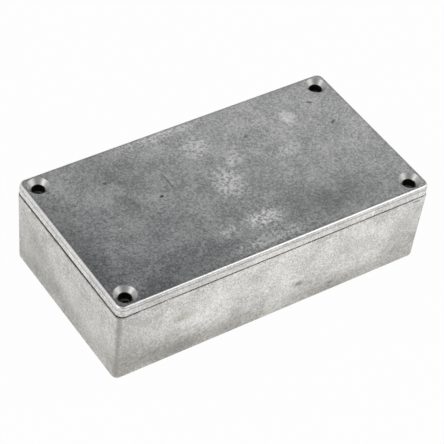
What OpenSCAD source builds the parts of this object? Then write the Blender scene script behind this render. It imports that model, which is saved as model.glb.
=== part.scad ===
// Die-cast aluminium box: a deep tray with a screw post in each corner, and a flat lid whose
// rim laps over the tray's tongue. Each piece is one casting, and every face that leaves the
// die has draft. A drafted casting is modelled here as a plan outline whose corner centres
// stay put while its radii change with height, so all its faces are true planes and cones.

/* [Overall size] */
// Length over the rim of the box
box_l = 112.4; // [80:0.1:180]
// Width over the rim of the box
box_w = 60.5; // [48:0.1:120]
// Height with the lid on
box_h = 31; // [24:0.5:55]

/* [Castings] */
// Wall thickness of the box
wall = 2.4; // [2:0.1:3.2]
// Floor thickness of the box
floor_t = 2.2; // [1.6:0.1:3]
// Thickness of the lid's plate
lid_t = 2; // [1.6:0.1:2.4]
// Height of the lid's rim, from the seam to the top
lid_rim_h = 4; // [3.6:0.1:5]
// Draft of every face that leaves the die, in degrees
draft = 1.5; // [0.5:0.1:2]

/* [Corners and edges] */
// Upright corner radius at the base, which grows with height by the draft
corner_r = 2; // [1.5:0.1:5]
// Radius round the base edge
base_r = 1; // [0.4:0.1:2]
// Radius round the lid's top edge
top_r = 0.8; // [0.3:0.1:1]
// Radius that the trimmed edges at the seam are rubbed down to
seam_r = 0.2; // [0.1:0.05:0.3]
// Radius where the inside walls and posts meet the floor
floor_r = 1.5; // [0.5:0.1:2]

/* [Screw posts] */
// Distance from the rim's outer faces to each screw's axis
screw_inset = 5; // [4.8:0.1:6]
// Post radius at the rim
post_r = 3.8; // [3.4:0.1:4.4]
// Outer diameter of the lid screws' thread, to which the tapped holes are modelled
thread_d = 3.5; // [3:0.5:4]
// Depth of the thread
thread_depth = 12; // [6:0.5:14]
// Diameter of the hole that was drilled before tapping
drill_d = 2.9; // [2.5:0.1:3.3]
// Depth of that hole, to the end of its round wall
drill_depth = 16; // [8:0.5:18]
// Depth of the chamfer at the mouth of each tapped hole
lead_in = 0.15; // [0.1:0.05:0.5]

/* [Lid screws] */
// Diameter of the lid's clearance holes
hole_d = 4.1; // [3.8:0.1:4.5]
// Diameter of the countersinks at the lid's top
sink_d = 7.1; // [6:0.1:7.4]
// Full angle of the countersinks
sink_angle = 90; // [82:1:100]

/* [Lap joint] */
// Gap between the two rims, because the lid bears on the posts only
rim_gap = 0.3; // [0.1:0.05:0.4]
// Thickness of the tongue that stands on the box's rim
tongue_t = 0.9; // [0.6:0.05:1.1]
// Side clearance between the tongue and the lid's rim
lap_gap = 0.15; // [0.1:0.05:0.3]
// Clearance above the tongue
tongue_top_gap = 0.3; // [0.2:0.05:0.5]
// Clearance between the tongue's ends and the curves round the lid's pads
tongue_end_gap = 0.3; // [0.2:0.1:1]
// How much wider than the posts the lid's pads over them are, all round
pad_margin = 0.25; // [0:0.05:0.4]
// Set-back of the lid's sides from the box's sides at the seam
lid_inset = 0.2; // [0.1:0.05:0.3]
// Height of the band below the lid's parting line, from the rim's lower edge
band_h = 2.2; // [1:0.1:2.4]
// How far that band stands proud of the rim above it
band_step = 0.05; // [0.03:0.01:0.1]

/* [Ejector marks] */
// Diameter of the round marks that the ejector pins leave
ejector_d = 5; // [3:0.5:6]
// Height of the marks
ejector_h = 0.2; // [0.1:0.05:0.3]

/* [Hidden] */
$fn = 96;

slope = tan(draft);
seam_z = box_h - lid_rim_h;
pocket_depth = seam_z - floor_t;
recess_depth = lid_rim_h - lid_t;
tongue_h = recess_depth - tongue_top_gap;
// Corner radius at the seam, and the corner centres that both castings share
rim_corner_r = corner_r + taper(seam_z);
corner_at = [neat(box_l / 2 - rim_corner_r), neat(box_w / 2 - rim_corner_r)];
// Half sizes of the box's pocket and of the lid's recess where each opens at the seam
pocket_half = [neat(box_l / 2 - wall), neat(box_w / 2 - wall)];
recess_half = pocket_half + [1, 1] * (tongue_t + lap_gap);
screw_at = [neat(box_l / 2 - screw_inset), neat(box_w / 2 - screw_inset)];
pad_r = post_r + pad_margin;
// Point angle of the drill that the posts were drilled with
drill_angle = 118;
// How far a cut runs past the metal
cut = 1;
// Least flat that is left beside a rounded edge
least_flat = 0.1;

// A length to the nearest thousandth, so that faces that meet there meet exactly
function neat(v) = round(v * 1000) / 1000;
// How far a drafted face leans over a height
function taper(h) = neat(h * slope);
function turn(a, b) = a.x * b.y - a.y * b.x;

// A section with rounded corners: each point is [x, y, radius], in anticlockwise order. A
// corner with a radius joins a level side to an upright one, by a quarter circle.
module rounded(points) {
    n = len(points);
    at = [for (p = points) [p.x, p.y]];
    back = [for (i = [0 : n - 1]) at[(i + n - 1) % n] - at[i]];
    on = [for (i = [0 : n - 1]) at[(i + 1) % n] - at[i]];
    flat_first = [for (i = [0 : n - 1]) abs(back[i].y) < abs(on[i].y)];
    way_x = [for (i = [0 : n - 1]) sign(flat_first[i] ? back[i].x : on[i].x)];
    way_y = [for (i = [0 : n - 1]) sign(flat_first[i] ? on[i].y : back[i].y)];
    arcs = [for (i = [0 : n - 1]) if (points[i].z > 0) i];
    function ends(i) = let (r = points[i].z, a = at[i] + [way_x[i] * r, 0], b = at[i] + [0, way_y[i] * r])
        flat_first[i] ? [a, b] : [b, a];
    module quarter(i) {
        r = points[i].z;
        translate(at[i] + [way_x[i], way_y[i]] * r) intersection() {
            circle(r);
            polygon([[0, 0], [-2 * r * way_x[i], 0], [-2 * r * way_x[i], -2 * r * way_y[i]],
                [0, -2 * r * way_y[i]]]);
        }
    }
    difference() {
        union() {
            polygon([for (i = [0 : n - 1]) each points[i].z > 0 ? ends(i) : [at[i]]]);
            for (i = arcs) if (turn(on[i], back[i]) > 0) quarter(i);
        }
        for (i = arcs) if (turn(on[i], back[i]) < 0) quarter(i);
    }
}

// Copies a shape that stands in the first quarter of the plan into all four
module four_corners() {
    for (flip_x = [0, 1], flip_y = [0, 1])
        mirror([flip_x, 0, 0]) mirror([0, flip_y, 0]) children();
}

// Extrudes a section along all four sides: the child has x outwards from the lines at
// at.x and at.y from the middle, and run is half the length along each axis
module sides(at, run) {
    for (flip = [0, 1]) mirror([0, flip, 0])
        translate([-run.x, at.y, 0]) rotate([90, 0, 90]) linear_extrude(2 * run.x) children();
    for (flip = [0, 1]) mirror([flip, 0, 0])
        translate([at.x, run.y, 0]) rotate([90, 0, 0]) linear_extrude(2 * run.y) children();
}

// A block whose plan is a rounded rectangle. The child is its half section outside the
// corner centres, with x outwards from a centre and y up, from 0 to height.
module casting_block(height) {
    translate([-corner_at.x, -corner_at.y, 0])
        cube([2 * corner_at.x, 2 * corner_at.y, height]);
    four_corners() translate(corner_at) rotate_extrude(angle = 90) children();
    sides(corner_at, corner_at) children();
}

// The space that a die's core leaves: a drafted pocket that opens upwards at height 0, with a
// post of radius r at the seam left standing in each corner. The posts narrow upwards as the
// pocket widens, and each is blended into both walls by an arc centred level with its screw.
module core(half, depth, edge_r, r) {
    lean = taper(depth);
    blend = half.x - screw_at.x;
    reach = r + blend;
    foot_r = min(edge_r, blend - lean - least_flat);
    module side_section() {
        rounded([[0, -depth, 0], [blend - lean, -depth, foot_r], [blend, 0, 0],
            [blend, cut, 0], [0, cut, 0]]);
    }
    difference() {
        translate([-screw_at.x, -screw_at.y, -depth])
            cube([2 * screw_at.x, 2 * screw_at.y, depth + cut]);
        four_corners() translate(screw_at) rotate_extrude()
            rounded([[0, -depth - cut, 0], [r + lean + foot_r, -depth - cut, 0],
                [r + lean + foot_r, -depth, 0], [r + lean, -depth, foot_r], [r, 0, 0],
                [r, 2 * cut, 0], [0, 2 * cut, 0]]);
    }
    four_corners() for (at = [[screw_at.x - reach, screw_at.y], [screw_at.x, screw_at.y - reach]])
        translate(at) rotate_extrude(angle = 90) side_section();
    sides(screw_at, screw_at - [reach, reach]) side_section();
}

// Round marks at the corners and the middle of the long sides
module ejector_marks(half) {
    for (x = [-1, 0, 1], y = [-1, 1])
        translate([x * (half.x - 4 * ejector_d), y * (half.y - 2 * ejector_d), 0])
            cylinder(d = ejector_d, h = 2 * ejector_h, center = true);
}

// The tongue's four straight lengths, between the posts
module tongue() {
    pad_curve = pad_r + recess_half.x - screw_at.x;
    ends = screw_at - [1, 1] * (pad_curve + tongue_end_gap);
    lean = taper(tongue_h);
    translate([0, 0, seam_z]) sides(pocket_half, ends)
        rounded([[0, -cut, 0], [tongue_t, -cut, 0], [tongue_t, 0, 0],
            [tongue_t - lean, tongue_h, seam_r], [lean, tongue_h, seam_r], [0, 0, 0]]);
}

// Deep tray with its screw posts and tongue
module box_body() {
    drill_point = neat(drill_d / 2 / tan(drill_angle / 2));
    color("silver") {
        difference() {
            casting_block(seam_z)
                rounded([[0, 0, 0], [corner_r, 0, min(base_r, corner_r - least_flat)],
                    [rim_corner_r, seam_z, seam_r], [0, seam_z, 0]]);
            translate([0, 0, seam_z])
                core(pocket_half, pocket_depth, floor_r, post_r);
            four_corners() translate([screw_at.x, screw_at.y, seam_z]) {
                translate([0, 0, -lead_in])
                    cylinder(d1 = thread_d, d2 = thread_d + 2 * lead_in, h = lead_in);
                translate([0, 0, -thread_depth]) cylinder(d = thread_d, h = thread_depth + cut);
                translate([0, 0, -drill_depth]) cylinder(d = drill_d, h = drill_depth);
                translate([0, 0, -drill_depth - drill_point])
                    cylinder(d1 = 0, d2 = drill_d, h = drill_point);
            }
        }
        tongue();
        translate([0, 0, floor_t]) ejector_marks(pocket_half);
    }
}

// Flat lid with a rim, a recess over the tongue and a countersunk hole at each corner. Only
// its four pads, inside the lines of the pocket's walls, reach down to the seam.
module lid() {
    rim_h = lid_rim_h - rim_gap;
    band_r = rim_corner_r - lid_inset;
    neck_r = band_r - band_step;
    neck_h = rim_h - band_h - band_step;
    sink_depth = neat((sink_d - hole_d) / 2 / tan(sink_angle / 2));
    color("darkgray") {
        difference() {
            union() {
                translate([0, 0, seam_z + rim_gap]) casting_block(rim_h)
                    rounded([[0, 0, 0], [band_r, 0, seam_r], [band_r, band_h, 0],
                        [neck_r, band_h + band_step, 0],
                        [neck_r - taper(neck_h), rim_h, min(top_r, neck_h - least_flat)], [0, rim_h, 0]]);
                translate([-pocket_half.x, -pocket_half.y, seam_z])
                    cube([2 * pocket_half.x, 2 * pocket_half.y, lid_rim_h / 2]);
            }
            translate([0, 0, seam_z]) mirror([0, 0, 1])
                core(recess_half, recess_depth, seam_r, pad_r);
            four_corners() translate([screw_at.x, screw_at.y, 0]) {
                translate([0, 0, seam_z - cut]) cylinder(d = hole_d, h = lid_rim_h + 2 * cut);
                translate([0, 0, box_h - sink_depth])
                    cylinder(d1 = hole_d, d2 = sink_d, h = sink_depth);
                translate([0, 0, box_h]) cylinder(d = sink_d, h = cut);
            }
        }
        translate([0, 0, seam_z + recess_depth]) ejector_marks(recess_half);
    }
}

box_body();
lid();
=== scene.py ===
import math

import bmesh
import bpy
from mathutils import Matrix, Vector, noise


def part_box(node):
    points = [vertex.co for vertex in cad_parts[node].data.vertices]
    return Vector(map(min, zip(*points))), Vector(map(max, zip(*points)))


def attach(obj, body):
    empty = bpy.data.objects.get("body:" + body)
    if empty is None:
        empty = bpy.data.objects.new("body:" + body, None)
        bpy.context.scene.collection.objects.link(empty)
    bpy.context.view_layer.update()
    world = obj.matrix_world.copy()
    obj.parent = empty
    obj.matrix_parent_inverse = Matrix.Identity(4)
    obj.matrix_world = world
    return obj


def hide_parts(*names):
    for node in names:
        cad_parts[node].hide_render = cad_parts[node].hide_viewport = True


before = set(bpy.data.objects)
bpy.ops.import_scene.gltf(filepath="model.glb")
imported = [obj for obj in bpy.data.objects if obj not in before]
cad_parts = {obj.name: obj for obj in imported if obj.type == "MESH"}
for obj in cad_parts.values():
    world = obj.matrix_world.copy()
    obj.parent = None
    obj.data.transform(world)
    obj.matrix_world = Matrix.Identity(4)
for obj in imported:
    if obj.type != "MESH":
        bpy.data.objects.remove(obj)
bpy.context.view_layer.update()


# The tray: one pressure die casting in aluminium-silicon alloy, left bare after tumbling. The
# die gives it a dense grey skin with soft clouds and fine speckle, its corners are rubbed, and
# the trimmed rim at the seam stays a little ragged.
MM = 0.001
tray_low, tray_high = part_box("box_body")
seam_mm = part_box("lid")[0].z / MM
side_mm = [c / MM for c in tray_high.xy]
# The corners' radius at the rim is the base's 2 mm, widened by the draft of the walls
rim_corner_mm = 2.707
corner_mm = [c - rim_corner_mm for c in side_mm]
screw_inset_mm = 5
screw_mm = [c - screw_inset_mm for c in side_mm]


def colour(hex_code):
    """The linear colour of an sRGB hex value."""
    parts = [int(hex_code[i:i + 2], 16) / 255 for i in (1, 3, 5)]
    return [p / 12.92 if p <= 0.04045 else ((p + 0.055) / 1.055) ** 2.4 for p in parts] + [1.0]


def add(tree, kind, inputs=None, **settings):
    """Adds a node: an input given as a node or a socket is linked, and any other value is set."""
    node = tree.nodes.new(kind)
    for name, value in settings.items():
        setattr(node, name, value)
    for key, value in (inputs or {}).items():
        if isinstance(value, bpy.types.Node):
            value = next(socket for socket in value.outputs if socket.enabled)
        if isinstance(value, bpy.types.NodeSocket):
            tree.links.new(value, node.inputs[key])
        else:
            node.inputs[key].default_value = value
    return node


def bare_metal(name):
    """A new metal finish: its material, tree and shader, and places on the piece in millimetres."""
    material = bpy.data.materials.new(name)
    material.use_nodes = True
    tree = material.node_tree
    shader = tree.nodes["Principled BSDF"]
    shader.inputs["Metallic"].default_value = 1.0
    spot = add(tree, "ShaderNodeTexCoord").outputs["Object"]
    place = add(tree, "ShaderNodeVectorMath", {0: spot, "Scale": 1 / MM}, operation="SCALE")
    return material, tree, shader, place


def die_skin(tree, place, cloud_mm):
    """What the die leaves: soft clouds, speckle about 1.2 mm across, and a grain that is drawn at
    0.6 mm so that it shows, as the real one is likely finer. The last value adds the three up."""
    speckle_mm = 1.2
    grain_mm = 0.6
    clouds = add(tree, "ShaderNodeTexNoise", {"Vector": place, "Scale": 1 / cloud_mm, "Detail": 4.0,
                 "Roughness": 0.6})
    speckle = add(tree, "ShaderNodeTexNoise", {"Vector": place, "Scale": 1 / speckle_mm, "Detail": 4.0,
                  "Roughness": 0.75})
    grain = add(tree, "ShaderNodeTexNoise", {"Vector": place, "Scale": 1 / grain_mm, "Detail": 2.0,
                "Roughness": 0.7})
    fine = add(tree, "ShaderNodeMath", {0: grain, 1: 0.35}, operation="MULTIPLY")
    fine = add(tree, "ShaderNodeMath", {0: speckle, 1: 0.35, 2: fine}, operation="MULTIPLY_ADD")
    tone = add(tree, "ShaderNodeMath", {0: clouds, 1: 0.30, 2: fine}, operation="MULTIPLY_ADD")
    return clouds, speckle, grain, tone


def oval(tree, place, centre, half, turn=0.0, soft=0.5):
    """1 inside an oval with these half sizes round a centre, falling to 0 beyond it."""
    local = add(tree, "ShaderNodeMapping", {"Vector": place, "Location": centre, "Scale": half,
                "Rotation": (0, 0, math.radians(turn))}, vector_type="TEXTURE")
    far = add(tree, "ShaderNodeVectorMath", {0: local}, operation="LENGTH")
    return add(tree, "ShaderNodeMapRange", {"Value": far.outputs["Value"], "From Min": 1.0 + soft,
               "From Max": 1.0 - soft}, interpolation_type="SMOOTHSTEP")


def ragged(tree, place, size_mm, reach_mm):
    """The same places, pushed about by up to reach_mm, so that a mark's outline wanders."""
    push = add(tree, "ShaderNodeTexNoise", {"Vector": place, "Scale": 1 / size_mm, "Detail": 3.0})
    push = add(tree, "ShaderNodeVectorMath", {0: push.outputs["Color"], 1: (0.5, 0.5, 0.5)},
               operation="SUBTRACT")
    push = add(tree, "ShaderNodeVectorMath", {0: push, "Scale": 2 * reach_mm}, operation="SCALE")
    return add(tree, "ShaderNodeVectorMath", {0: place, 1: push}, operation="ADD")


def stained(tree, skin, place, marks, soft, blend="MIX"):
    """The skin's colour with a list of marks over it: centre, half sizes, turn, tint, strength.
    MULTIPLY keeps the skin's texture under a stain, and MIX covers it."""
    for centre, half, turn, tint, strength in marks:
        mark = oval(tree, place, centre, half, turn, soft)
        mark = add(tree, "ShaderNodeMath", {0: mark, 1: strength}, operation="MULTIPLY")
        skin = add(tree, "ShaderNodeMix", {"Factor": mark, "A": skin, "B": colour(tint)}, data_type="RGBA",
                   blend_type=blend)
    return skin


def light_skin(tree, tone):
    """The light, slightly warm grey of a tumbled side."""
    shade = add(tree, "ShaderNodeMapRange", {"Value": tone, "From Min": 0.4, "From Max": 0.6})
    return add(tree, "ShaderNodeMix", {"Factor": shade, "A": colour("#BFBEBB"), "B": colour("#FCFBF8")},
               data_type="RGBA")


def near_height(tree, z, height_mm, full_mm, none_mm, strength=1.0):
    """The strength within full_mm of a height, falling to 0 at none_mm from it."""
    away = add(tree, "ShaderNodeMath", {0: z, 1: height_mm}, operation="SUBTRACT")
    away = add(tree, "ShaderNodeMath", {0: away}, operation="ABSOLUTE")
    return add(tree, "ShaderNodeMapRange", {"Value": away, "From Min": none_mm, "From Max": full_mm,
               "To Max": strength})


def seam_dirt_and_shade(tree, skin, place):
    """The skin's colour with dark dirt and painted shade in the seam at the two short ends, just below and
    above it.
    """
    x, _, z = add(tree, "ShaderNodeSeparateXYZ", {0: ragged(tree, place, 1.2, 0.3)}).outputs
    level = near_height(tree, z, seam_mm + 0.15, 0.2, 0.65)
    end = add(tree, "ShaderNodeMath", {0: x}, operation="ABSOLUTE")
    end = add(tree, "ShaderNodeMapRange", {"Value": end, "From Min": side_mm[0] - 1.2,
              "From Max": side_mm[0] - 0.6})
    # Painted shade with some dirt: the seam's edges are darkened at the short ends
    dirt_and_shade = add(tree, "ShaderNodeMath", {0: level, 1: end}, operation="MULTIPLY")
    dirt_and_shade = add(tree, "ShaderNodeMath", {0: dirt_and_shade, 1: 0.75}, operation="MULTIPLY")
    return add(tree, "ShaderNodeMix", {"Factor": dirt_and_shade, "A": skin, "B": colour("#4C4C48")},
               data_type="RGBA")


def from_screw(tree, place):
    """How far a point lies from the nearest screw's axis, in millimetres."""
    off = add(tree, "ShaderNodeVectorMath", {0: place}, operation="ABSOLUTE")
    off = add(tree, "ShaderNodeVectorMath", {0: off, 1: (*screw_mm, 0)}, operation="SUBTRACT")
    off = add(tree, "ShaderNodeVectorMath", {0: off, 1: (1, 1, 0)}, operation="MULTIPLY")
    return add(tree, "ShaderNodeVectorMath", {0: off}, operation="LENGTH").outputs["Value"]


def skin_relief(tree, clouds, speckle, grain, depths_mm, keep):
    """The same three textures as relief, each with its depth, where keep is 1."""
    normal = None
    for texture, depth in zip((clouds, speckle, grain), depths_mm):
        inputs = {"Height": texture, "Strength": keep, "Distance": depth * MM}
        if normal:
            inputs["Normal"] = normal
        normal = add(tree, "ShaderNodeBump", inputs)
    return normal


def corner_shade_line(tree, place):
    """1 along the middle of each upright corner, 0 on the flat sides."""
    across = add(tree, "ShaderNodeVectorMath", {0: place}, operation="ABSOLUTE")
    past = add(tree, "ShaderNodeVectorMath", {0: across, 1: (*corner_mm, 0)}, operation="SUBTRACT")
    x, y, _ = add(tree, "ShaderNodeSeparateXYZ", {0: past}).outputs
    both = add(tree, "ShaderNodeMath", {0: x, 1: y}, operation="MINIMUM")
    return add(tree, "ShaderNodeMapRange", {"Value": both, "From Min": 0.6, "From Max": 1.9},
               interpolation_type="SMOOTHSTEP")


def beyond_corners(point):
    """The way out from a casting's corner centres to a point in plan, in millimetres."""
    past = [math.copysign(max(abs(p) / MM - c, 0), p) for p, c in zip(point.xy, corner_mm)]
    return Vector((*past, 0))


def with_edges(faces):
    """The faces with their edges and corners, each once and in a fixed order."""
    return list(dict.fromkeys(e for f in faces for e in (f, *f.edges, *f.verts)))


def trim_edge(form, edge_mm, band_mm, radius_mm, step_mm, wear_mm):
    """Trims the flash off a casting's edge: the skin from the edge to the height band_mm is cut
    every step_mm, and the edge is filed in by about wear_mm, most on the short side at -X."""
    wall_mm = 0.9        # how far in from the outside still counts as the casting's skin
    outer_mm = 0.25      # a face of the band comes at least this near the outside
    reach_mm = 0.26      # the edge's rounding and a little more, which the file touches
    near = 1e-7
    skin = [f for f in form.faces
            if all(beyond_corners(v.co).length > radius_mm - wall_mm for v in f.verts)]
    bmesh.ops.bisect_plane(form, geom=with_edges(skin), plane_co=(0, 0, band_mm * MM),
                           plane_no=(0, 0, 1))
    low, high = sorted((edge_mm, band_mm))
    band = [f for f in form.faces
            if all(low - 0.01 < v.co.z / MM < high + 0.01 for v in f.verts)
            and any(beyond_corners(v.co).length > radius_mm - outer_mm for v in f.verts)]
    for axis in (0, 1):
        normal = Vector((1 - axis, axis, 0))
        cuts = int(2 * corner_mm[axis] / step_mm)
        ahead = band
        for cut in range(cuts + 1):
            at = (cut / cuts * 2 - 1) * corner_mm[axis] * MM
            ahead = [f for f in ahead if max(v.co[axis] for v in f.verts) > at + near]
            crossed = [f for f in ahead if min(v.co[axis] for v in f.verts) < at - near]
            made = bmesh.ops.bisect_plane(form, geom=with_edges(crossed), plane_co=normal * at,
                                          plane_no=normal, dist=near)["geom"]
            made = [f for f in made if isinstance(f, bmesh.types.BMFace)]
            ahead = list(dict.fromkeys((*ahead, *made)))
            band = list(dict.fromkeys((*band, *made)))
    for vert in form.verts:
        out = beyond_corners(vert.co)
        if out.length < radius_mm - reach_mm or abs(vert.co.z / MM - edge_mm) > reach_mm:
            continue
        spot = vert.co / MM
        # How hard the file bit here, over about 1 mm, and whether this stretch was worked at all
        bite = 0.5 + 0.5 * noise.noise(spot * 0.9 + Vector((7, 3, 0)))
        notch = 0.5 + 0.5 * noise.noise(spot * 1.3 + Vector((1, 9, 4)))
        elsewhere = spot.x > -side_mm[0] + 3
        stretch = max(0.25, 0.6 + noise.noise(spot * 0.13) - 0.6 * elsewhere)
        vert.co -= out.normalized() * wear_mm * bite * stretch * MM
        vert.co.z += math.copysign(wear_mm * notch * stretch, band_mm - edge_mm) * MM
    for edge in form.edges:
        if all(abs(v.co.z / MM - band_mm) < 0.001 for v in edge.verts):
            edge.smooth = False


def casting_copy(node, name, **trim):
    """A copy of a CAD node with its corners joined and its seam edge trimmed, smooth on curves
    and crisp at real edges."""
    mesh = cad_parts[node].data.copy()
    mesh.name = name
    mesh.attributes.remove(mesh.attributes["custom_normal"])
    mesh.materials.clear()
    form = bmesh.new()
    form.from_mesh(mesh)
    bmesh.ops.remove_doubles(form, verts=form.verts, dist=0.001 * MM)
    for face in form.faces:
        face.smooth = True
    for edge in form.edges:
        edge.smooth = edge.calc_face_angle(0) < math.radians(30)
    trim_edge(form, **trim)
    form.to_mesh(mesh)
    form.free()
    piece = bpy.data.objects.new(name, mesh)
    bpy.context.scene.collection.objects.link(piece)
    return piece


# Die-cast aluminium, tumbled: a satin light grey that mirrors the table softly, warmer and
# greener where die lubricant burnt on, with painted shade down the upright corners, along the bottom
# of the sides and over the short side at -X.
def tumbled_casting():
    material, tree, shader, place = bare_metal("tumbled_die_cast_aluminium")
    clouds, speckle, grain, tone = die_skin(tree, place, 9)
    # Painted shade among these marks: the first and those at heights 2 and 3 mm darken the bottom of the
    # front and -X sides, and the second darkens the whole -X side
    skin = stained(tree, light_skin(tree, tone), ragged(tree, place, 2.5, 2), (
        ((0, -30, 0), (70, 8, 8), 0, "#D0CFCB", 0.6),
        ((-56, 0, 12), (8, 45, 30), 0, "#D2D2CF", 0.5),
        ((-48, -30, 8), (16, 8, 7), 0, "#C6C5C0", 0.5),
        ((-33, -30, 17), (3.4, 8, 2.2), 0, "#CDCBBC", 0.45),
        ((-26, -30, 2), (20, 8, 5), 0, "#C6C6C1", 0.5),
        ((24, -30, 2), (12, 8, 4), 0, "#C6C6C1", 0.5),
        ((52, -30, 8), (9, 8, 12), 0, "#CBCBC6", 0.5),
        ((9, -30, 9.5), (1.6, 8, 1.0), 0, "#85857F", 0.6),
        ((22, -30, 4), (1.3, 8, 0.8), 0, "#85857F", 0.5),
        ((-56, 8, 3), (8, 30, 6), 0, "#C4C4C0", 0.5),
        ((-56, 20, 14), (8, 9, 9), 0, "#CBCBC7", 0.4),
        ((40, 30, 12), (18, 8, 9), 0, "#C6C6C1", 0.5),
        ((-20, 30, 6), (22, 8, 6), 0, "#CBCBC6", 0.5),
        ((56, 5, 8), (8, 16, 9), 0, "#C6C6C1", 0.5)), 0.7, "MULTIPLY")
    # The second mark is a painted highlight: a white glint just below the seam on the short side at -X
    skin = stained(tree, skin, place, (
        ((51, -30, 26.2), (1.8, 8, 0.3), 0, "#6E6E68", 0.8),
        ((-56, 21.4, 26.4), (8, 0.7, 0.35), 0, "#FFFFFF", 0.9)), 0.4)
    skin = seam_dirt_and_shade(tree, skin, place)
    # Painted shade: a darker band down each upright corner, standing for the dark reflection there
    corner = add(tree, "ShaderNodeMath", {0: corner_shade_line(tree, place), 1: 0.6}, operation="MULTIPLY")
    skin = add(tree, "ShaderNodeMix", {"Factor": corner, "A": skin, "B": colour("#8A8A84")},
               data_type="RGBA")
    # The drilled bores and the post tops under the lid's holes are painted dark: painted shade under the
    # lid
    bore_shade = add(tree, "ShaderNodeMapRange", {"Value": from_screw(tree, place), "From Min": 2.6,
               "From Max": 2.3})
    height = add(tree, "ShaderNodeSeparateXYZ", {0: place}).outputs["Z"]
    above_floor = add(tree, "ShaderNodeMath", {0: height, 1: 8.0}, operation="GREATER_THAN")
    bore_shade = add(tree, "ShaderNodeMath", {0: bore_shade, 1: above_floor}, operation="MULTIPLY")
    skin = add(tree, "ShaderNodeMix", {"Factor": bore_shade, "A": skin, "B": colour("#6A6A68")},
               data_type="RGBA")
    tree.links.new(skin.outputs["Result"], shader.inputs["Base Color"])
    dull = add(tree, "ShaderNodeMapRange", {"Value": speckle, "From Min": 0.3, "From Max": 0.7,
               "To Min": 0.4, "To Max": 0.58})
    tree.links.new(dull.outputs[0], shader.inputs["Roughness"])
    relief = skin_relief(tree, clouds, speckle, grain, (0.09, 0.045, 0.032), 1.0)
    tree.links.new(relief.outputs[0], shader.inputs["Normal"])
    return material


tray = casting_copy("box_body", "tray_casting", edge_mm=seam_mm, band_mm=seam_mm - 0.5,
                    radius_mm=rim_corner_mm, step_mm=0.6, wear_mm=0.3)
tray.data.materials.append(tumbled_casting())
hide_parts("box_body")
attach(tray, "box")


# The threads: each post is tapped M3.5 for a lid screw, 12 mm deep, and its bore in the tray is at
# the thread's outer diameter, so this piece is the ridge that the tap leaves between its turns.
thread_mm = {"Outer Radius": 1.75, "Core Radius": 1.45, "Pitch": 0.6, "Depth": 12,
             "Mouth Height": seam_mm - 0.3, "Spacing X": 2 * screw_mm[0], "Spacing Y": 2 * screw_mm[1]}


# Aluminium cut by a tap: the smeared look of a thread in a soft alloy, painted dark grey as shade inside
# the bore.
def cut_thread():
    material, tree, shader, place = bare_metal("tapped_aluminium")
    smear = add(tree, "ShaderNodeTexNoise", {"Vector": place, "Scale": 1 / 0.3, "Detail": 2.0})
    skin = add(tree, "ShaderNodeMix", {"Factor": smear, "A": colour("#6A6A69"), "B": colour("#A2A2A0")},
               data_type="RGBA")
    tree.links.new(skin.outputs["Result"], shader.inputs["Base Color"])
    dull = add(tree, "ShaderNodeMapRange", {"Value": smear, "To Min": 0.28, "To Max": 0.5})
    tree.links.new(dull.outputs[0], shader.inputs["Roughness"])
    relief = add(tree, "ShaderNodeBump", {"Height": smear, "Distance": 0.01 * MM})
    tree.links.new(relief.outputs[0], shader.inputs["Normal"])
    return material


def tapping():
    """The nodes that wind a ridge of triangular section down each of four bores."""
    tree = bpy.data.node_groups.new("tapping", "GeometryNodeTree")
    for name in thread_mm:
        tree.interface.new_socket(name, in_out="INPUT", socket_type="NodeSocketFloat")
    tree.interface.new_socket("Metal", in_out="INPUT", socket_type="NodeSocketMaterial")
    tree.interface.new_socket("Geometry", in_out="OUTPUT", socket_type="NodeSocketGeometry")
    given = add(tree, "NodeGroupInput").outputs
    # The ridge's section is a triangle round the winding line: its point is at the core radius,
    # and its foot lies just inside the metal round the bore
    tall = add(tree, "ShaderNodeMath", {0: given["Outer Radius"], 1: given["Core Radius"]},
               operation="SUBTRACT")
    section = add(tree, "ShaderNodeMath", {0: tall, 1: 0.8}, operation="MULTIPLY")
    line = add(tree, "ShaderNodeMath", {0: given["Core Radius"], 1: section}, operation="ADD")
    turns = add(tree, "ShaderNodeMath", {0: given["Depth"], 1: given["Pitch"]}, operation="DIVIDE")
    winding = add(tree, "GeometryNodeCurveSpiral", {"Resolution": 20, "Rotations": turns,
                  "Start Radius": line, "End Radius": line, "Height": given["Depth"]})
    winding = add(tree, "GeometryNodeSetCurveNormal", {0: winding}, mode="Z_UP")
    triangle = add(tree, "GeometryNodeCurvePrimitiveCircle", {"Resolution": 3, "Radius": section})
    ridge = add(tree, "GeometryNodeCurveToMesh", {0: winding, 1: triangle, "Fill Caps": True})
    posts = add(tree, "GeometryNodeMeshGrid", {"Size X": given["Spacing X"], "Size Y": given["Spacing Y"],
                "Vertices X": 2, "Vertices Y": 2})
    foot = add(tree, "ShaderNodeMath", {0: given["Mouth Height"], 1: given["Depth"]}, operation="SUBTRACT")
    foot = add(tree, "ShaderNodeCombineXYZ", {"Z": foot})
    posts = add(tree, "GeometryNodeSetPosition", {0: posts, "Offset": foot})
    ridges = add(tree, "GeometryNodeInstanceOnPoints", {0: posts, "Instance": ridge})
    ridges = add(tree, "GeometryNodeRealizeInstances", {0: ridges})
    ridges = add(tree, "GeometryNodeSetMaterial", {0: ridges, "Material": given["Metal"]})
    add(tree, "NodeGroupOutput", {0: ridges})
    return tree


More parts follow.
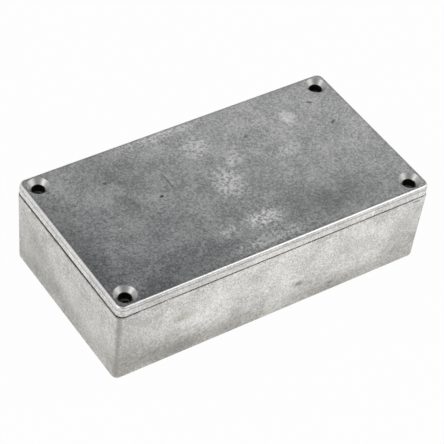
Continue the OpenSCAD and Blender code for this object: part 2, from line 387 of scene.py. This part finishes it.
tap = tapping()
blank = bpy.data.objects.new("thread_blank", bpy.data.meshes.new("thread_blank"))
bpy.context.scene.collection.objects.link(blank)
winder = blank.modifiers.new("tapping", "NODES")
winder.node_group = tap
thread_sizes = {name: size * MM for name, size in thread_mm.items()} | {"Metal": cut_thread()}
for socket in tap.interface.items_tree:
    if socket.in_out == "INPUT":
        winder[socket.identifier] = thread_sizes[socket.name]
bpy.context.view_layer.update()
wound = bpy.data.meshes.new_from_object(blank.evaluated_get(bpy.context.evaluated_depsgraph_get()))
bpy.data.objects.remove(blank)
threads = bpy.data.objects.new("post_threads", wound)
bpy.context.scene.collection.objects.link(threads)
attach(threads, "box")


# The lid: a second casting in the same alloy, with darker clouds, pale flow marks and handling
# marks on its top. Its four screw holes are countersunk after casting, so the cones are bright
# turned metal.
top_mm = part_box("lid")[1].z / MM
lid_edge_mm = seam_mm + 0.3
hole_radius_mm = 2.05
sink_radius_mm = 3.55
sink_depth_mm = 1.7


def round_corner(tree, place):
    """How far a point lies outside the castings' corner centres in plan, in millimetres."""
    across = add(tree, "ShaderNodeVectorMath", {0: place}, operation="ABSOLUTE")
    past = add(tree, "ShaderNodeVectorMath", {0: across, 1: (*corner_mm, 1000)}, operation="SUBTRACT")
    past = add(tree, "ShaderNodeVectorMath", {0: past, 1: (0, 0, 0)}, operation="MAXIMUM")
    return add(tree, "ShaderNodeVectorMath", {0: past}, operation="LENGTH").outputs["Value"]


def lid_top(tree, place, tone, flecked):
    """The lid's top: painted shade darkens it towards its front left corner, with pale patches where
    the metal chilled last, pits, scratches and rubbed streaks. The second value is 1 in the patches."""
    x, y, _ = add(tree, "ShaderNodeSeparateXYZ", {0: place}).outputs
    shade = add(tree, "ShaderNodeMapRange", {"Value": tone, "From Min": 0.41, "From Max": 0.59})
    dark = add(tree, "ShaderNodeMix", {"Factor": shade, "A": colour("#888A8C"), "B": colour("#C6C7C8")},
               data_type="RGBA")
    pale = add(tree, "ShaderNodeMix", {"Factor": shade, "A": colour("#C6C7C8"), "B": colour("#FFFFFF")},
               data_type="RGBA")
    # Painted shade: the top darkens towards the front left
    far = add(tree, "ShaderNodeMath", {0: y, 1: 1.6, 2: x}, operation="MULTIPLY_ADD")
    far = add(tree, "ShaderNodeMapRange", {"Value": far, "From Min": -80.0, "From Max": 55.0})
    skin = add(tree, "ShaderNodeMix", {"Factor": far, "A": dark, "B": pale}, data_type="RGBA")
    white = add(tree, "ShaderNodeMix", {"Factor": flecked, "A": colour("#D8D8D6"), "B": colour("#FFFFFF")},
                data_type="RGBA")
    wandering = ragged(tree, place, 2, 2.5)
    chilled = 0.0
    for centre, half, turn, strength in (
            ((34, 16.5, 31), (2.4, 3.0, 4), 0, 1.0),
            ((0, 18, 31), (5, 3.5, 4), 20, 0.85),
            ((1, 0, 31), (4.5, 6, 4), -20, 0.85),
            ((8, 8, 31), (4, 2.5, 4), 40, 0.7),
            ((2, -18, 31), (6, 3.5, 4), 0, 1.0),
            ((-11, -18, 31), (4, 2, 4), 0, 0.5),
            ((0, -26, 31), (14, 2.5, 4), 0, 0.5),
            ((-8, 28, 31), (12, 2, 4), 0, 0.8),
            ((26, 4, 31), (5, 2.5, 4), 0, 0.5)):
        patch = oval(tree, wandering, centre, half, turn, 0.6)
        patch = add(tree, "ShaderNodeMath", {0: patch, 1: strength}, operation="MULTIPLY")
        chilled = add(tree, "ShaderNodeMath", {0: chilled, 1: patch}, operation="MAXIMUM")
    chilled = add(tree, "ShaderNodeMath", {0: chilled, 1: flecked}, operation="MULTIPLY")
    skin = add(tree, "ShaderNodeMix", {"Factor": chilled, "A": skin, "B": white}, data_type="RGBA")
    skin = stained(tree, skin, ragged(tree, place, 0.8, 0.5), (
        ((34, 16.5, 31), (2.0, 2.5, 2), 0, "#FFFFFF", 0.85),
        ((44.3, 19.4, 31), (1.0, 0.5, 2), -20, "#565656", 0.7),
        ((45.8, 8.3, 31), (1.0, 0.5, 2), 30, "#565656", 0.7),
        ((-20.7, 4.2, 31), (0.6, 0.4, 2), 0, "#454545", 0.9),
        ((17, 15, 31), (1.1, 0.6, 2), 20, "#6E6E6E", 0.6),
        ((-33, 17, 31), (0.8, 0.5, 2), 0, "#6A6A6A", 0.6)), 0.5)
    skin = stained(tree, skin, place, (
        ((-31.5, 7.5, 31), (4.5, 1.8, 2), -50, "#7C7C7D", 0.3),
        ((-15.6, 9, 31), (0.25, 4, 2), 0, "#5C5C5E", 0.45),
        ((-14.6, 8.5, 31), (0.2, 3.5, 2), 0, "#F4F4F4", 0.5),
        ((-3.5, 14.5, 31), (1.3, 0.3, 2), -27, "#FFFFFF", 0.9),
        ((22.2, 18.7, 31), (1.0, 0.3, 2), 18, "#FFFFFF", 0.9),
        ((11, 12.5, 31), (0.8, 0.3, 2), 0, "#FFFFFF", 0.8),
        ((28, -17.5, 31), (0.6, 0.4, 2), 0, "#FFFFFF", 0.6),
        ((-39, -2, 31), (0.6, 0.4, 2), 0, "#FFFFFF", 0.6)), 0.4)
    skin = stained(tree, skin, wandering, (
        ((-53, -6, 31), (4, 24, 4), 0, "#C2C2C2", 0.6),
        ((-34, -26, 31), (20, 4, 4), 8, "#CCCCCC", 0.5),
        ((-28, 20, 31), (14, 7, 4), -30, "#D0D0D0", 0.4),
        ((24, -20, 31), (16, 6, 4), 0, "#C8C8C8", 0.5)), 0.7, "MULTIPLY")
    return skin, chilled


# Die-cast aluminium, as it left the die: a darker grey than the tray's, with painted shade towards the
# top's front left, pale clouds where the metal chilled last, rubbed bright along the top edge with a
# painted highlight there, and turned bright in the countersinks.
def stained_casting():
    material, tree, shader, place = bare_metal("stained_die_cast_aluminium")
    clouds, speckle, grain, tone = die_skin(tree, place, 8)
    flecked = add(tree, "ShaderNodeMapRange", {"Value": speckle, "From Min": 0.37, "From Max": 0.55})
    skin, chilled = lid_top(tree, place, tone, flecked)
    # Painted shade: a darker line just inside the top's rounding, beside its highlight
    out = round_corner(tree, place)
    rim_edge_shade = add(tree, "ShaderNodeMapRange", {"Value": out, "From Min": 1.0, "From Max": 1.6,
                "To Max": 0.3})
    skin = add(tree, "ShaderNodeMix", {"Factor": rim_edge_shade, "A": skin, "B": colour("#77787A")},
               data_type="RGBA")
    # The rim was tumbled as light as the tray, with a scratch down its long side
    side = stained(tree, light_skin(tree, tone), place, (
        ((34, -30, 29), (0.5, 8, 1.1), 25, "#FFFFFF", 0.9),), 0.4)
    rim = add(tree, "ShaderNodeMapRange", {"Value": out, "From Min": 1.75, "From Max": 1.95})
    skin = add(tree, "ShaderNodeMix", {"Factor": rim, "A": skin, "B": side}, data_type="RGBA")
    # The top's rounding is rubbed bright, partly a painted highlight, and a drawn line runs round the rim
    # below it
    z = add(tree, "ShaderNodeSeparateXYZ", {0: place}).outputs["Z"]
    rubbed_and_highlit = near_height(tree, z, top_mm - 0.17, 0.1, 0.24)
    rubbed_and_highlit = add(tree, "ShaderNodeMath", {0: rubbed_and_highlit, 1: rim}, operation="MULTIPLY")
    skin = add(tree, "ShaderNodeMix", {"Factor": rubbed_and_highlit, "A": skin, "B": colour("#FFFFFF")},
               data_type="RGBA")
    drawn = near_height(tree, z, top_mm - 1.25, 0.1, 0.35, 0.45)
    drawn = add(tree, "ShaderNodeMath", {0: drawn, 1: rim}, operation="MULTIPLY")
    skin = add(tree, "ShaderNodeMix", {"Factor": drawn, "A": skin, "B": colour("#7A7A77")},
               data_type="RGBA")
    skin = seam_dirt_and_shade(tree, skin, place)
    # The countersinks are turned bright down to the holes, whose walls are painted dark as shade
    off = from_screw(tree, place)
    turned = add(tree, "ShaderNodeMapRange", {"Value": off, "From Min": sink_radius_mm + 0.05,
                 "From Max": sink_radius_mm - 0.05})
    sunk = add(tree, "ShaderNodeMath", {0: z, 1: top_mm - sink_depth_mm}, operation="GREATER_THAN")
    turned = add(tree, "ShaderNodeMath", {0: turned, 1: sunk}, operation="MULTIPLY")
    skin = add(tree, "ShaderNodeMix", {"Factor": turned, "A": skin, "B": colour("#C8C8C6")},
               data_type="RGBA")
    hole_shade = add(tree, "ShaderNodeMapRange", {"Value": off, "From Min": hole_radius_mm + 0.15,
               "From Max": hole_radius_mm + 0.03})
    skin = add(tree, "ShaderNodeMix", {"Factor": hole_shade, "A": skin, "B": colour("#5E5E5C")},
               data_type="RGBA")
    tree.links.new(skin.outputs["Result"], shader.inputs["Base Color"])
    dull = add(tree, "ShaderNodeMapRange", {"Value": speckle, "From Min": 0.3, "From Max": 0.7,
               "To Min": 0.38, "To Max": 0.54})
    dull = add(tree, "ShaderNodeMath", {0: chilled, 1: 0.28, 2: dull}, operation="MULTIPLY_ADD")
    dull = add(tree, "ShaderNodeMix", {"Factor": rubbed_and_highlit, "A": dull, "B": 0.3})
    dull = add(tree, "ShaderNodeMix", {"Factor": turned, "A": dull, "B": 0.34})
    tree.links.new(dull.outputs["Result"], shader.inputs["Roughness"])
    keep = add(tree, "ShaderNodeMapRange", {"Value": turned, "To Min": 1.0, "To Max": 0.15})
    relief = skin_relief(tree, clouds, speckle, grain, (0.08, 0.04, 0.03), keep)
    # The countersink's turning lines, drawn 0.28 mm apart so that they show: the real ones are
    # likely finer
    ring_mm = 0.28
    rings = add(tree, "ShaderNodeMath", {0: off, 1: 2 * math.pi / ring_mm}, operation="MULTIPLY")
    rings = add(tree, "ShaderNodeMath", {0: rings}, operation="SINE")
    relief = add(tree, "ShaderNodeBump", {"Height": rings, "Strength": turned, "Distance": 0.004 * MM,
                 "Normal": relief})
    tree.links.new(relief.outputs[0], shader.inputs["Normal"])
    return material


cover = casting_copy("lid", "lid_casting", edge_mm=lid_edge_mm, band_mm=lid_edge_mm + 0.5,
                     radius_mm=rim_corner_mm - 0.2, step_mm=0.7, wear_mm=0.08)
cover.data.materials.append(stained_casting())
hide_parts("lid")
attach(cover, "lid")


# The studio: a white table top that stays white to the camera and in the metal, two soft boxes
# beside the camera, and a grey room above that is brighter towards a window on the left.
def white_table():
    material = bpy.data.materials.new("white_table")
    material.use_nodes = True
    tree = material.node_tree
    shader = tree.nodes["Principled BSDF"]
    shader.inputs["Base Color"].default_value = colour("#F2F2F1")
    shader.inputs["Roughness"].default_value = 0.9
    shader.inputs["Specular IOR Level"].default_value = 0.0
    rays = add(tree, "ShaderNodeLightPath").outputs
    mirrored = add(tree, "ShaderNodeMath", {0: rays["Is Glossy Ray"], 1: rays["Is Transmission Ray"]},
                   operation="ADD")
    mirrored = add(tree, "ShaderNodeMath", {0: mirrored, 1: 0.85}, operation="MULTIPLY")
    white = add(tree, "ShaderNodeMath", {0: rays["Is Camera Ray"], 1: 0.97, 2: mirrored},
                operation="MULTIPLY_ADD")
    glow = add(tree, "ShaderNodeEmission", {"Strength": 1.0})
    mixed = add(tree, "ShaderNodeMixShader", {0: white, 1: shader, 2: glow})
    tree.links.new(mixed.outputs[0], tree.nodes["Material Output"].inputs["Surface"])
    return material


table_half = 4.0
table_mesh = bpy.data.meshes.new("table_top")
table_mesh.from_pydata([(-table_half, -table_half, 0), (table_half, -table_half, 0),
                        (table_half, table_half, 0), (-table_half, table_half, 0)], [], [(0, 1, 2, 3)])
table_mesh.materials.append(white_table())
table = bpy.data.objects.new("table_top", table_mesh)
bpy.context.scene.collection.objects.link(table)


def soft_box(name, direction, distance, size, power):
    """A square lamp in that direction from the object, facing it."""
    lamp = bpy.data.lights.new(name, "AREA")
    lamp.size = size
    lamp.energy = power
    holder = bpy.data.objects.new(name, lamp)
    way = Vector(direction).normalized()
    facing = way.to_track_quat("Z", "Y").to_matrix().to_4x4()
    holder.matrix_world = Matrix.Translation(way * distance) @ facing
    bpy.context.scene.collection.objects.link(holder)


soft_box("right_soft_box", (0.62, -0.42, 0.66), 1.2, 1.1, 3.4)
soft_box("left_soft_box", (-0.76, 0.06, 0.64), 1.2, 0.6, 1.4)

world = bpy.data.worlds.new("grey_room")
world.use_nodes = True
bpy.context.scene.world = world
sky = world.node_tree
ahead = add(sky, "ShaderNodeTexCoord").outputs["Generated"]
height = add(sky, "ShaderNodeSeparateXYZ", {0: ahead}).outputs["Z"]
climb = add(sky, "ShaderNodeMapRange", {"Value": height, "From Min": 0.2, "From Max": 0.7},
            interpolation_type="SMOOTHSTEP")
wall = add(sky, "ShaderNodeMix", {"Factor": climb, "A": colour("#B4B4B4"), "B": colour("#A0A0A0")},
           data_type="RGBA")
window = add(sky, "ShaderNodeVectorMath", {0: ahead, 1: (-0.8, 0.35, 0)}, operation="DOT_PRODUCT")
window = add(sky, "ShaderNodeMapRange", {"Value": window.outputs["Value"], "From Min": -0.1,
             "From Max": 0.9}, interpolation_type="SMOOTHSTEP")
wall = add(sky, "ShaderNodeMix", {"Factor": window, "A": wall, "B": colour("#D8D8D8")}, data_type="RGBA")
sky.links.new(wall.outputs["Result"], sky.nodes["Background"].inputs["Color"])

# The camera stands before a front corner, looking down at the box, and is rolled a little. Its
# distance and the two small shifts beside it are shares of the box's length.
azimuth, elevation, roll = (math.radians(v) for v in (-38.258, 44.019, 7.352))
length = (tray_high - tray_low).x
back = Vector((math.sin(azimuth) * math.cos(elevation), -math.cos(azimuth) * math.cos(elevation),
               math.sin(elevation)))
right = Vector((math.cos(azimuth), math.sin(azimuth), 0))
up = back.cross(right)
camera_right = math.cos(roll) * right + math.sin(roll) * up
camera_up = math.cos(roll) * up - math.sin(roll) * right
camera_at = length * (0.0125 * camera_right + 0.0911 * camera_up + 5.2675 * back)
turn = Matrix((camera_right, camera_up, back)).transposed()
camera = bpy.data.objects.new("camera", bpy.data.cameras.new("camera"))
camera.matrix_world = Matrix.Translation(camera_at) @ turn.to_4x4()
camera.data.sensor_width = 36
camera.data.lens = 152.2111
bpy.context.scene.collection.objects.link(camera)
bpy.context.scene.camera = camera
bpy.context.scene.view_settings.view_transform = "Standard"
